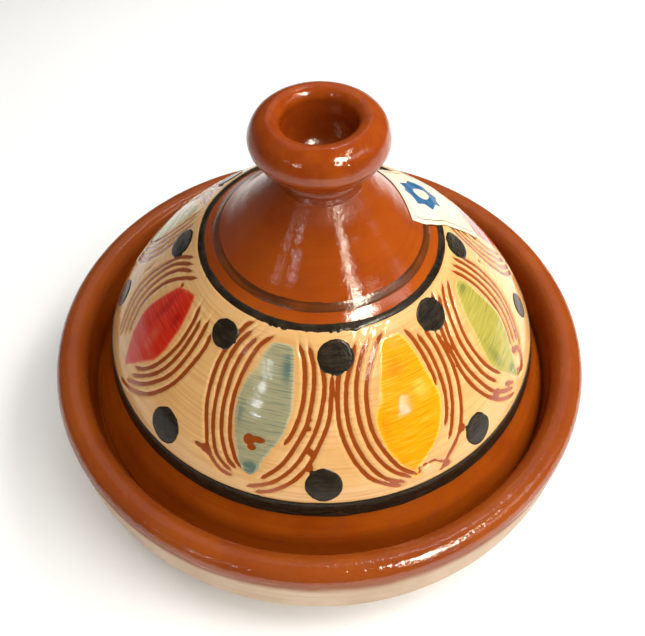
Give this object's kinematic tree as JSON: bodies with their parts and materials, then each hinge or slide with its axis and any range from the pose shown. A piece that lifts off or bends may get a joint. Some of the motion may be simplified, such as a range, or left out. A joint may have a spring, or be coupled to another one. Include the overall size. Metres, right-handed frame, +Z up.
{
  "type": "tagine pot",
  "caption": "Earthenware cooking pot: a round dish with a wide rolled rim and a painted domed lid with a hollow knob, which sits inside the rim and lifts off.",
  "frame": {"origin": "centre of the dish's flat foot, on the surface that it stands on", "axes": "+Z up along the axis that dish, lid and knob are thrown on; -Y is the front, with the label at the right rear"},
  "size_m": [0.2696, 0.2696, 0.1845],
  "materials": {
    "dish": "clear brown lead-style glaze on the rim and inside; bare pale clay outside",
    "lid": "glossy clear glaze over red-brown clay",
    "knob": "glossy clear glaze over red-brown clay",
    "slip_coat": "cream slip under a clear gloss glaze, combed through to the clay",
    "neck_ring": "thin brown-black brushed paint under glaze",
    "shoulder_band": "black brushed paint under glaze",
    "foot_band": "black brushed paint under glaze",
    "upper_dots": "thick grainy black paint, glossy",
    "lower_dots": "thick grainy black paint, glossy",
    "red_leaves": "brushed translucent paint under glaze",
    "blue_leaves": "brushed translucent paint under glaze",
    "yellow_leaves": "brushed translucent paint under glaze",
    "green_leaves": "brushed translucent paint under glaze",
    "label": "matt printed paper"
  },
  "bodies": {
    "dish": {"dish": "dish"},
    "lid": {"lid": "lid", "knob": "knob", "slip_coat": "slip_coat", "neck_ring": "neck_ring", "shoulder_band": "shoulder_band", "foot_band": "foot_band", "upper_dots": "upper_dots", "lower_dots": "lower_dots", "red_leaves": "red_leaves", "blue_leaves": "blue_leaves", "yellow_leaves": "yellow_leaves", "green_leaves": "green_leaves", "label": "label"}
  },
  "joints": [
    {"name": "lid_lift", "type": "slide", "parent": "dish", "child": "lid", "axis": [0, 0, 1], "range_m": [0, 0.12]}
  ]
}
